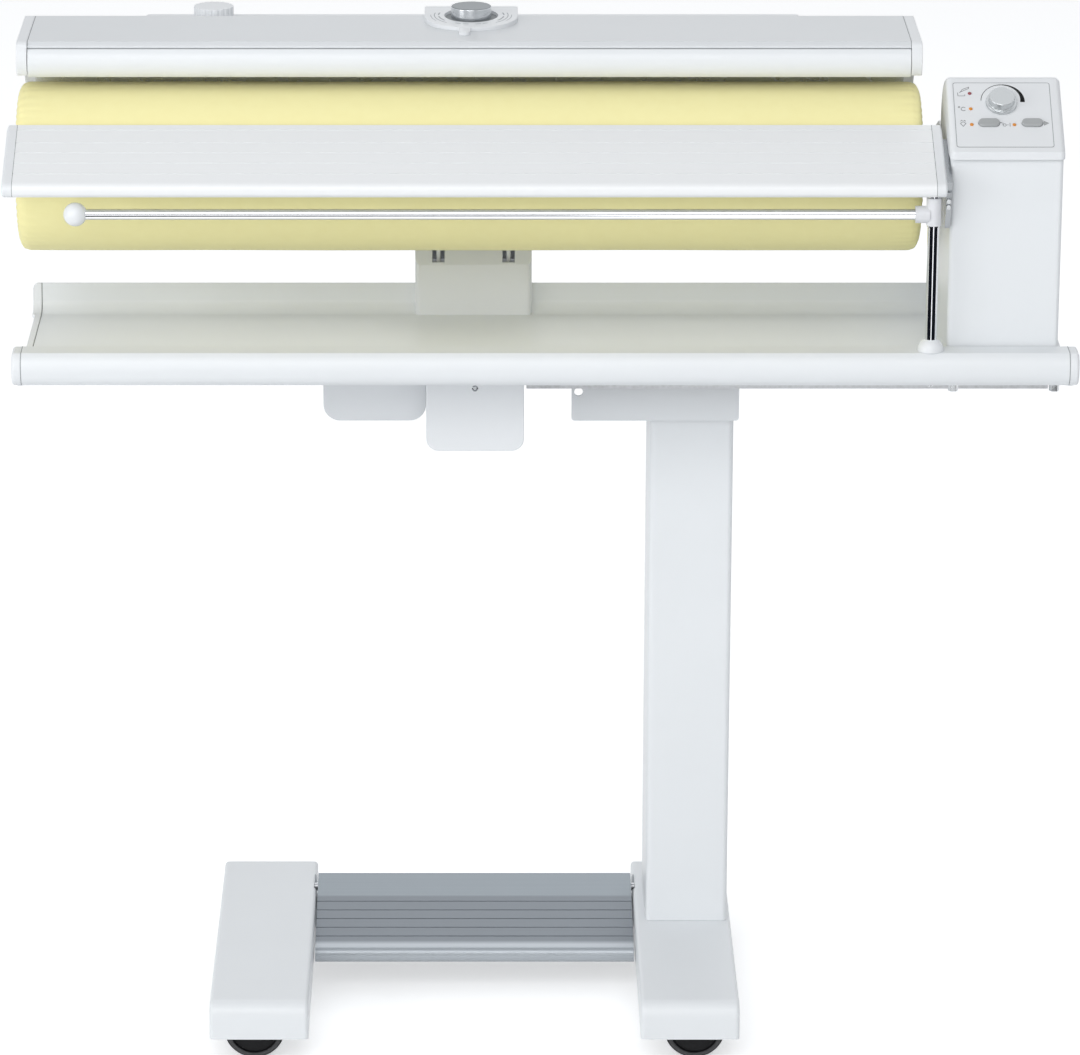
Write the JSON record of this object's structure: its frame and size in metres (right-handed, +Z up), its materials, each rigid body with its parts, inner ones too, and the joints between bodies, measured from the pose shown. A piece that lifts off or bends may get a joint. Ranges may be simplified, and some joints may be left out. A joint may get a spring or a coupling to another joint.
{
  "type": "rotary ironer",
  "caption": "Free-standing rotary ironer: padded roller under a heated pressing hood, feed board, laundry tray, drive housing with controls, folding stand on castors and foot pedal.",
  "frame": {"origin": "floor level under the middle of the whole machine, centred between its left and right ends and between the toes and heels of the feet", "axes": "+Z up, +X towards the drive housing along the roller, +Y away from the user towards the back"},
  "size_m": [0.995, 0.38, 0.972],
  "materials": {
    "white_metal": "smooth white enamel",
    "white_plastic": "satin moulded white",
    "grey_plastic": "fine matte grey",
    "light_aluminium": "satin anodised",
    "tread_aluminium": "brushed, ribbed",
    "chrome": "polished",
    "steel": "plain",
    "mould_metal": "polished ironing face",
    "cloth": "woven cotton cover over padding",
    "black_rubber": "matte",
    "dark_plastic": "fine texture",
    "circuit": "coated board",
    "lamp_red": "clear tinted",
    "knob_silver": "silver lacquer"
  },
  "bodies": {
    "stand": {"left_foot": "white_metal", "right_foot": "white_metal", "wheel_brackets": "steel", "wheel_axles": "steel", "cross_beam": "white_metal", "pedal_rod": "steel", "column": "white_metal", "column_collar": "white_plastic", "fold_bracket": "white_metal", "fold_pin": "steel"},
    "pedal": {"pedal_plate": "tread_aluminium"},
    "ironer_unit": {"tray": "white_metal", "tray_end_caps": "white_plastic", "hinge_plate": "steel", "chassis_rails": "steel", "lift_cover_left": "white_plastic", "lift_cover_right": "white_plastic", "lift_motor": "steel", "press_cover": "white_plastic", "press_pin": "steel", "feed_board": "light_aluminium", "board_end_caps": "white_plastic", "board_bracket": "chrome", "housing": "white_metal", "control_head": "white_plastic", "control_panel": "white_plastic", "indicator_lights": "lamp_red", "circuit_board": "circuit", "roller_bearing": "dark_plastic", "drive_motor": "steel", "motor_bracket": "steel", "rail_post": "chrome", "post_base": "white_plastic", "fixings": "chrome"},
    "roller": {"roller_core": "steel", "roller_shaft": "steel", "roller_padding": "cloth", "roller_gear": "steel"},
    "pinion": {"motor_pinion": "steel"},
    "heater": {"mould": "mould_metal", "heating_elements": "steel", "heater_cover": "white_metal", "cover_end_caps": "white_plastic", "press_arm": "white_metal", "steam_tank": "white_plastic", "dial_plate": "white_plastic"},
    "guard": {"finger_guard": "white_metal"},
    "water_cap": {"filler_cap": "white_plastic"},
    "steam_control": {"steam_dial": "knob_silver"},
    "speed_control": {"speed_knob": "knob_silver"},
    "left_key": {"press_button": "grey_plastic"},
    "right_key": {"power_button": "grey_plastic"},
    "hanging_rail": {"rail_sleeve": "grey_plastic", "laundry_rail": "chrome", "rail_ball": "white_plastic"},
    "front_left_roller": {"front_left_wheel": "black_rubber"},
    "front_right_roller": {"front_right_wheel": "black_rubber"},
    "rear_left_roller": {"rear_left_wheel": "black_rubber"},
    "rear_right_roller": {"rear_right_wheel": "black_rubber"}
  },
  "joints": [
    {"name": "front_left_spin", "type": "hinge", "parent": "stand", "child": "front_left_roller", "pos_m": [-0.2735, -0.15, 0.029], "axis": [0, 1, 0], "continuous": true},
    {"name": "front_right_spin", "type": "hinge", "parent": "stand", "child": "front_right_roller", "pos_m": [0.1475, -0.15, 0.029], "axis": [0, 1, 0], "continuous": true},
    {"name": "rear_left_spin", "type": "hinge", "parent": "stand", "child": "rear_left_roller", "pos_m": [-0.2735, 0.15, 0.029], "axis": [0, 1, 0], "continuous": true},
    {"name": "rear_right_spin", "type": "hinge", "parent": "stand", "child": "rear_right_roller", "pos_m": [0.1475, 0.15, 0.029], "axis": [0, 1, 0], "continuous": true},
    {"name": "pedal_press", "type": "hinge", "parent": "stand", "child": "pedal", "pos_m": [-0.063, 0.132, 0.0615], "axis": [1, 0, 0], "range_deg": [0, 6], "stiffness_Nm_per_rad": 12, "springref_deg": -6.88},
    {"name": "fold", "type": "hinge", "parent": "stand", "child": "ironer_unit", "pos_m": [0.038, 0.0845, 0.63], "axis": [0, -1, 0], "range_deg": [0, 90]},
    {"name": "roller_turn", "type": "hinge", "parent": "ironer_unit", "child": "roller", "pos_m": [0, 0.02, 0.834], "axis": [1, 0, 0], "continuous": true},
    {"name": "pinion_turn", "type": "hinge", "parent": "ironer_unit", "child": "pinion", "pos_m": [0.39, 0.02, 0.792], "axis": [1, 0, 0], "continuous": true},
    {"name": "press_close", "type": "hinge", "parent": "ironer_unit", "child": "heater", "pos_m": [-0.064, 0.16, 0.7], "axis": [1, 0, 0], "range_deg": [0, 3.8]},
    {"name": "guard_push", "type": "hinge", "parent": "heater", "child": "guard", "pos_m": [-0.068, 0.0035, 0.946], "axis": [1, 0, 0], "range_deg": [0, 6], "stiffness_Nm_per_rad": 0.6, "springref_deg": -11.46},
    {"name": "cap_turn", "type": "hinge", "parent": "heater", "child": "water_cap", "pos_m": [-0.3127, 0.1465, 0.95], "axis": [0, 0, 1], "range_deg": [0, 270]},
    {"name": "steam_turn", "type": "hinge", "parent": "heater", "child": "steam_control", "pos_m": [-0.0662, 0.093, 0.965], "axis": [0, 0, 1], "range_deg": [-135, 135]},
    {"name": "speed_turn", "type": "hinge", "parent": "ironer_unit", "child": "speed_control", "pos_m": [0.4249, -0.0527, 0.91232], "axis": [0, -0.5736, 0.8192], "range_deg": [-135, 135]},
    {"name": "left_key_press", "type": "slide", "parent": "ironer_unit", "child": "left_key", "axis": [0, 0.5736, -0.8192], "range_m": [0, 0.0015], "stiffness_N_per_m": 400, "springref_m": -0.001},
    {"name": "right_key_press", "type": "slide", "parent": "ironer_unit", "child": "right_key", "axis": [0, 0.5736, -0.8192], "range_m": [0, 0.0015], "stiffness_N_per_m": 400, "springref_m": -0.001},
    {"name": "rail_swing", "type": "hinge", "parent": "ironer_unit", "child": "hanging_rail", "pos_m": [0.36, -0.112, 0.8245], "axis": [0, 0, 1], "range_deg": [0, 90]}
  ],
  "couplings": [
    {"joint": "pinion_turn", "follows": "roller_turn", "ratio": -2.5}
  ]
}
